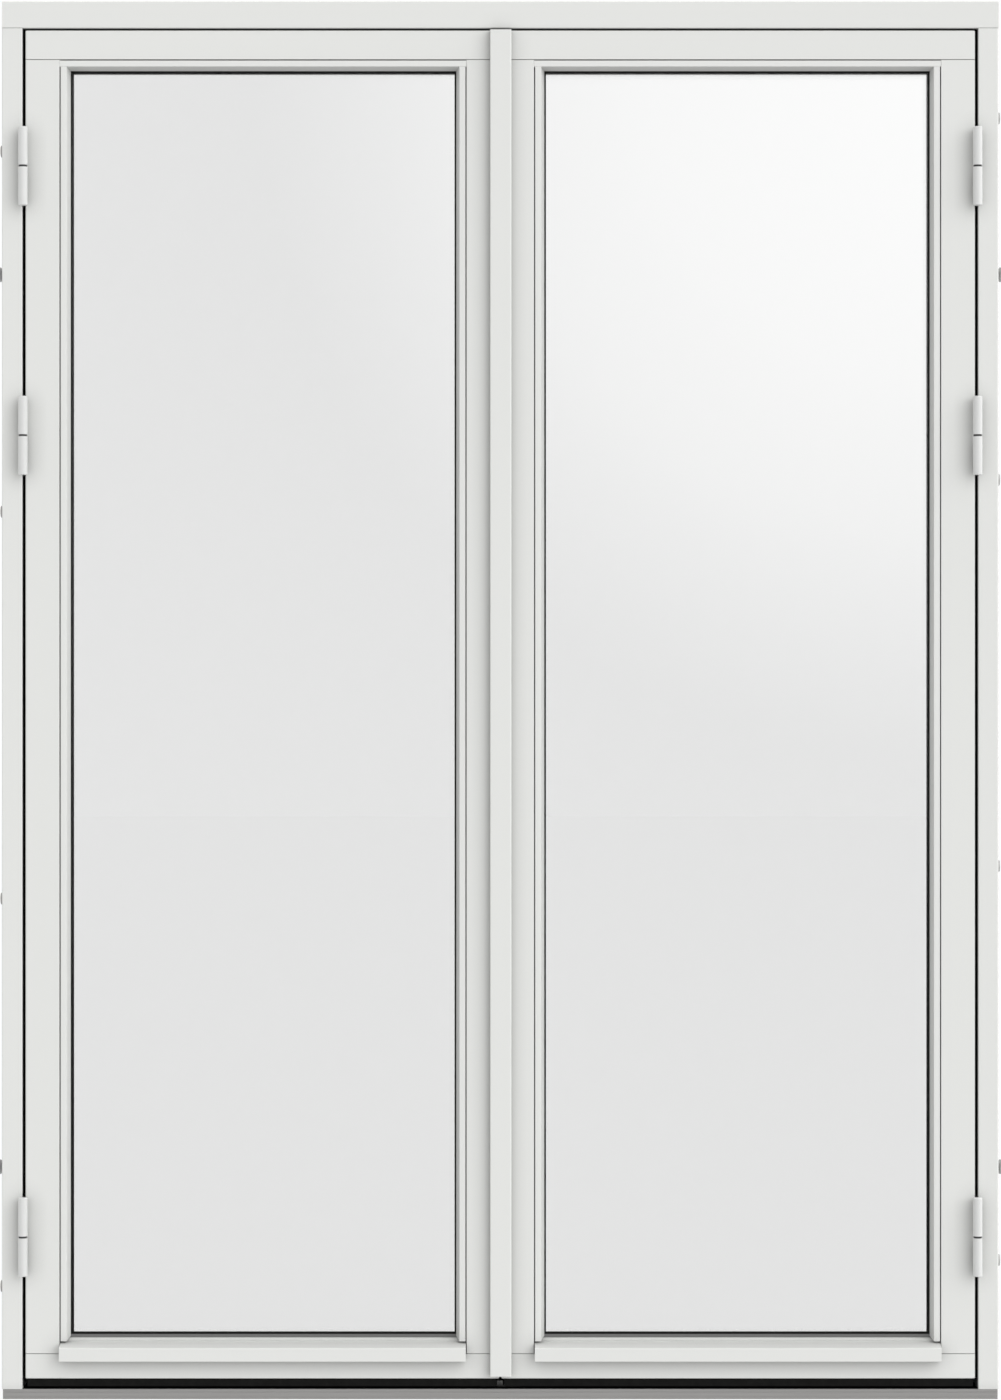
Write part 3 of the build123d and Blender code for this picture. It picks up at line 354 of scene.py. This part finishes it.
def brushed_handle():
    surface = Surface("brushed_handle", HANDLE, roughness=0.26, metallic=1.0)
    lines = surface.noise(scale=1200.0, stretch=(1.0, 1.0, 0.02), roughness=0.6)
    surface.vary_gloss(lines, spread=0.06)
    surface.bump(lines, strength=0.08, distance=0.0001)
    return surface.material


def black_rubber():
    surface = Surface("black_rubber", RUBBER, roughness=0.62)
    surface.dull(0.08)
    surface.tint(surface.noise(scale=90.0), dark=0.8, light=1.25)
    surface.vary_gloss(surface.noise(scale=300.0), spread=0.06)
    surface.bump(surface.noise(scale=1500.0), strength=0.2, distance=0.0001)
    return surface.material


def gap_rubber_painted_shade():
    """The seals deep in the gaps: the same rubber made darker than the other rubber, as painted
    shade.
    """
    surface = Surface("gap_rubber_painted_shade", RUBBER_PAINTED_SHADE, roughness=0.8)
    surface.dull(0.05)
    surface.tint(surface.noise(scale=90.0), dark=0.7, light=1.3)
    surface.bump(surface.noise(scale=1500.0), strength=0.2, distance=0.0001)
    return surface.material


def glazing_rubber():
    """Black gasket that is grey in the strip just above the drip bead."""
    surface = Surface("glazing_rubber", RUBBER, roughness=0.6)
    surface.dull(0.15)
    split = surface.node("ShaderNodeSeparateXYZ", {"Vector": surface.place((1, 1, 1))})
    strip_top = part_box("left_drip_bead")[1][2] + GREY_STRIP
    inputs = {
        "Value": split.outputs["Z"],
        "From Min": strip_top,
        "From Max": strip_top + GREY_STRIP_EDGE,
    }
    above = surface.node("ShaderNodeMapRange", inputs).outputs["Result"]
    speckle_share = surface.noise(scale=70.0)
    speckle = surface.mix(speckle_share, scaled(GREY_RUBBER, 0.93), scaled(GREY_RUBBER, 1.05))
    surface.set({"Base Color": surface.mix(above, speckle, RUBBER)})
    surface.vary_gloss(surface.noise(scale=300.0), spread=0.06)
    surface.bump(surface.noise(scale=1500.0), strength=0.2, distance=0.0001)
    return surface.material


def black_composite():
    surface = Surface("black_composite", COMPOSITE, roughness=0.7)
    surface.dull(0.15)
    surface.tint(surface.noise(scale=400.0), dark=0.75, light=1.4)
    surface.bump(surface.noise(scale=900.0), strength=0.35, distance=0.0003)
    return surface.material


def plastic(name, color, roughness):
    surface = Surface(name, color, roughness)
    surface.tint(surface.noise(scale=120.0), dark=0.94, light=1.04)
    surface.bump(surface.noise(scale=1000.0), strength=0.15, distance=0.0001)
    return surface.material


def clear_glass():
    """Float glass, whose faint green varies a little over its area."""
    surface = Surface("clear_glass", GLASS, roughness=0.0)
    surface.set({"Transmission Weight": 1.0, "IOR": 1.5})
    surface.tint(surface.noise(scale=0.8, detail=1.0), dark=0.9985, light=1.001)
    return surface.material


def dress_nodes():
    """Gives every CAD node its material, by its slot in the record, by its name where that says
    more, and by how its timber runs. Returns the steel, for the screws."""
    upright = painted_timber("painted_timber_upright", "z")
    lying = painted_timber("painted_timber_lying", "x")
    by_slot = {
        "white_metal": hinge_paint(),
        "aluminium": anodised_aluminium(),
        "composite": black_composite(),
        "rubber": black_rubber(),
        "steel": plated_steel("zinc_steel", STEEL),
        "clear_glass": clear_glass(),
        "spacer_black": plastic("spacer_black", SPACER, roughness=0.5),
        "grey_plastic": plastic("sleeve_grey", SLEEVE, roughness=0.5),
        "dark_washer": plastic("dark_washer", WASHER, roughness=0.55),
    }
    handle = brushed_handle()
    gasket = glazing_rubber()
    by_node = {
        "lever_handle": handle,
        "handle_backplate": handle,
        # The threshold keep is zinc steel made darker: painted shade under the seals
        "threshold_keep": plated_steel("zinc_steel_painted_shade", STEEL_PAINTED_SHADE),
        # The weatherstrips get the darker rubber: painted shade in the gaps
        "weatherstrips": gap_rubber_painted_shade(),
        "left_glazing_rubber": gasket,
        "right_glazing_rubber": gasket,
    }
    for entry in RECORD["subparts"]:
        name = entry["node"]
        node = NODES[name]
        if entry["material_slot"] == "white_paint":
            low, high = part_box(name)
            material = lying if high[0] - low[0] > high[2] - low[2] else upright
        else:
            material = by_node.get(name, by_slot[entry["material_slot"]])
        node.data.materials.clear()
        node.data.materials.append(material)
    return by_slot["steel"]


def screw_mesh(radius):
    """A raised screw head with a six-lobed recess. It points up from the origin."""
    recess = radius * RECESS_REACH
    rings = [
        (radius, 0.0, 0.0),
        (radius, 0.0, SCREW_RISE * RIM_RISE),
        (radius * SHOULDER_REACH, 0.0, SCREW_RISE * SHOULDER_RISE),
        (radius * CROWN_REACH, 0.0, SCREW_RISE),
        (recess, LOBE_DEPTH, SCREW_RISE),
        (recess * RECESS_TAPER, LOBE_DEPTH, SCREW_RISE * RECESS_FLOOR),
    ]
    mesh = bpy.data.meshes.new("screw")
    shape = bmesh.new()
    loops = []
    for reach, depth, height in rings:
        loop = []
        for number in range(SCREW_SEGMENTS):
            turn = 2 * math.pi * number / SCREW_SEGMENTS
            spread = reach * (1 + depth * math.cos(LOBES * turn))
            point = (spread * math.cos(turn), spread * math.sin(turn), height)
            loop.append(shape.verts.new(point))
        loops.append(loop)
    for outer, inner in zip(loops, loops[1:]):
        for number in range(SCREW_SEGMENTS):
            after = (number + 1) % SCREW_SEGMENTS
            shape.faces.new((outer[number], outer[after], inner[after], inner[number]))
    shape.faces.new(loops[-1])
    shape.faces.new(list(reversed(loops[0])))
    shape.to_mesh(mesh)
    shape.free()
    return mesh


class Screws:
    """Puts screw heads on faces, each one turned a little differently from the last."""

    def __init__(self, material):
        self.mesh = screw_mesh(SCREW_RADIUS)
        self.mesh.materials.append(material)
        self.count = 0

    def put(self, place, facing, body):
        head = bpy.data.objects.new(f"screw_{self.count:03d}", self.mesh)
        bpy.context.collection.objects.link(head)
        turn = Matrix.Rotation(math.radians(SCREW_TURN * self.count % LOBE_TURN), 4, "Z")
        face = Vector(facing).to_track_quat("Z", "Y").to_matrix().to_4x4()
        head.matrix_world = Matrix.Translation(place) @ face @ turn
        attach(head, body)
        self.count += 1


def add_hinge_screws(screws):
    """Two screws in each half of each hinge, in the gap between leaf and jamb."""
    for side, sign in (("left", -1), ("right", 1)):
        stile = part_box(f"{side}_hinge_stile")
        leaf_face = max(abs(stile[0][0]), abs(stile[1][0])) + FLAP_PROUD
        for place in ("bottom", "middle", "top"):
            leaf_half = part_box(f"{side}_{place}_hinge")
            frame_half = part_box(f"frame_{place}_hinge_{side}")
            y = leaf_half[1][1] - HINGE_SCREW_INSET
            for step in (-0.5, 0.5):
                z = middle(leaf_half, 2) + step * HINGE_SCREW_PITCH
                screws.put((sign * leaf_face, y, z), (sign, 0, 0), f"{side}_leaf")
                z = middle(frame_half, 2) + step * HINGE_SCREW_PITCH
                screws.put((sign * (leaf_face + FLAP_GAP), y, z), (-sign, 0, 0), "frame")


def add_lock_screws(screws):
    """The screws of the faceplate, the bolts' plates, the lever's backplate and the keeps."""
    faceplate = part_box("lock_faceplate")
    lock_y = middle(faceplate, 1)
    foot = faceplate[0][2]
    run = faceplate[1][2] - foot - 2 * PLATE_SCREW_INSET
    for number in range(FACEPLATE_SCREWS):
        z = foot + PLATE_SCREW_INSET + run * number / (FACEPLATE_SCREWS - 1)
        screws.put((faceplate[0][0], lock_y, z), (-1, 0, 0), "right_leaf")

    for name in ("left_top_bolt_plate", "left_foot_bolt_plate"):
        low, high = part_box(name)
        for z in (low[2] + PLATE_SCREW_INSET, high[2] - PLATE_SCREW_INSET):
            screws.put((high[0], lock_y, z), (1, 0, 0), "left_leaf")

    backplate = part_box("handle_backplate")
    low, high = backplate
    for z in (low[2] + BACKPLATE_SCREW_INSET, high[2] - BACKPLATE_SCREW_INSET):
        screws.put((middle(backplate, 0), high[1], z), (0, 1, 0), "right_leaf")

    # Both keeps have plates of one thickness, and the lower one lies on the threshold's core
    low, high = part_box("head_keep")
    plate_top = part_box("threshold_core")[1][2] + high[2] - low[2]
    for x in (low[0] + KEEP_SCREW_INSET, high[0] - KEEP_SCREW_INSET):
        screws.put((x, lock_y, low[2]), (0, 0, -1), "frame")
        screws.put((x, lock_y, plate_top), (0, 0, 1), "frame")


def picture_direction(column, row):
    """The direction from the camera to a pixel, turned back as the glass mirrors it."""
    x = (column - CENTRE_COLUMN) * METRES_PER_PIXEL
    z = (PICTURE_HEIGHT / 2 - row) * METRES_PER_PIXEL
    return Vector((x, -CAMERA_DISTANCE, z)).normalized()


def studio_light(graph, direction):
    """The strength of the light that falls on the surfaces: the fill with its two glows."""
    strength = FILL
    for come_from, brightness in GLOWS:
        towards = graph.compare("DOT_PRODUCT", direction, Vector(come_from).normalized())
        glow = graph.rise(towards, GLOW_START, top=brightness)
        strength = graph.calculate("ADD", strength, glow, clamp=False)
    return strength


def mirrored_light(graph, direction):
    """The colour that mirrored rays see: a soft brightness in a dark cone, and else the fill."""
    ramp = graph.node("ShaderNodeValToRGB", {})
    ramp.color_ramp.interpolation = "CARDINAL"
    stops = ramp.color_ramp.elements
    for place, level in REFLECTION_FALL[1:-1]:
        stops.new(place).color = grey(level)
    stops[0].color = grey(REFLECTION_FALL[0][1])
    stops[-1].color = grey(REFLECTION_FALL[-1][1])
    centre = picture_direction(REFLECTION_COLUMN, REFLECTION_ROW)
    reach = REFLECTION_REACH * METRES_PER_PIXEL / CAMERA_DISTANCE
    away = graph.compare("DISTANCE", direction, centre)
    graph.give(ramp, {"Fac": graph.calculate("DIVIDE", away, reach)})
    from_front = graph.compare("DISTANCE", direction, (0, -1, 0))
    outside = graph.rise(from_front, DARK_CONE, DARK_CONE_EDGE)
    return graph.mix(outside, ramp.outputs["Color"], grey(FILL))


def set_world():
    """White behind the doors, light on them, and a soft brightness for the glass to mirror."""
    world = bpy.data.worlds.new("studio")
    bpy.context.scene.world = world
    world.use_nodes = True
    world.node_tree.nodes.clear()
    graph = Graph(world.node_tree)
    direction = graph.node("ShaderNodeTexCoord", {}).outputs["Generated"]
    fill = graph.background(WHITE, studio_light(graph, direction))
    mirror = graph.background(mirrored_light(graph, direction), 1.0)
    backdrop = graph.background(WHITE, 1.0)
    seen, mirrored = graph.seen_and_mirrored(graph.node("ShaderNodeLightPath", {}))
    lit = graph.blend(mirrored, fill, mirror)
    graph.node("ShaderNodeOutputWorld", {"Surface": graph.blend(seen, lit, backdrop)})


def set_floor():
    """A floor as white as the studio that takes a faint shadow and lights what is above it. The
    glass mirrors it as black."""
    corners = [
        (-FLOOR_REACH, -FLOOR_REACH, 0),
        (FLOOR_REACH, -FLOOR_REACH, 0),
        (FLOOR_REACH, FLOOR_REACH, 0),
        (-FLOOR_REACH, FLOOR_REACH, 0),
    ]
    mesh = bpy.data.meshes.new("floor")
    mesh.from_pydata(corners, [], [(0, 1, 2, 3)])
    floor = bpy.data.objects.new("floor", mesh)
    bpy.context.collection.objects.link(floor)
    floor.location.z = CAD_BOX[0][2] - FLOOR_GAP

    surface = Surface("studio_floor", grey(FLOOR_GREY), roughness=0.9)
    surface.tint(surface.noise(scale=2.0), dark=0.995, light=1.005)
    path = surface.node("ShaderNodeLightPath", {})
    seen, mirrored = surface.seen_and_mirrored(path)
    shown = surface.blend(FLOOR_WHITE, surface.shader.outputs[0], surface.glow(1.0))
    whole = surface.blend(seen, surface.glow(FLOOR_FILL), shown)
    in_glass = surface.calculate("MULTIPLY", mirrored, path.outputs["Is Singular Ray"])
    whole = surface.blend(in_glass, whole, surface.glow(0.0))
    surface.give(surface.tree.nodes["Material Output"], {"Surface": whole})
    mesh.materials.append(surface.material)


def set_camera():
    data = bpy.data.cameras.new("camera")
    data.sensor_fit = "VERTICAL"
    data.sensor_height = SENSOR_MILLIMETRES
    data.lens = SENSOR_MILLIMETRES * CAMERA_DISTANCE / (PICTURE_HEIGHT * METRES_PER_PIXEL)
    camera = bpy.data.objects.new("camera", data)
    bpy.context.collection.objects.link(camera)
    height = (BASE_ROW - PICTURE_HEIGHT / 2) * METRES_PER_PIXEL
    side = (PICTURE_WIDTH / 2 - CENTRE_COLUMN) * METRES_PER_PIXEL
    camera.location = (side, FRONT_Y - CAMERA_DISTANCE, height)
    camera.rotation_euler = (math.radians(90), 0, 0)
    bpy.context.scene.camera = camera


bpy.context.scene.view_settings.view_transform = "Standard"
set_camera()
set_world()
set_floor()
screws = Screws(dress_nodes())
add_hinge_screws(screws)
add_lock_screws(screws)
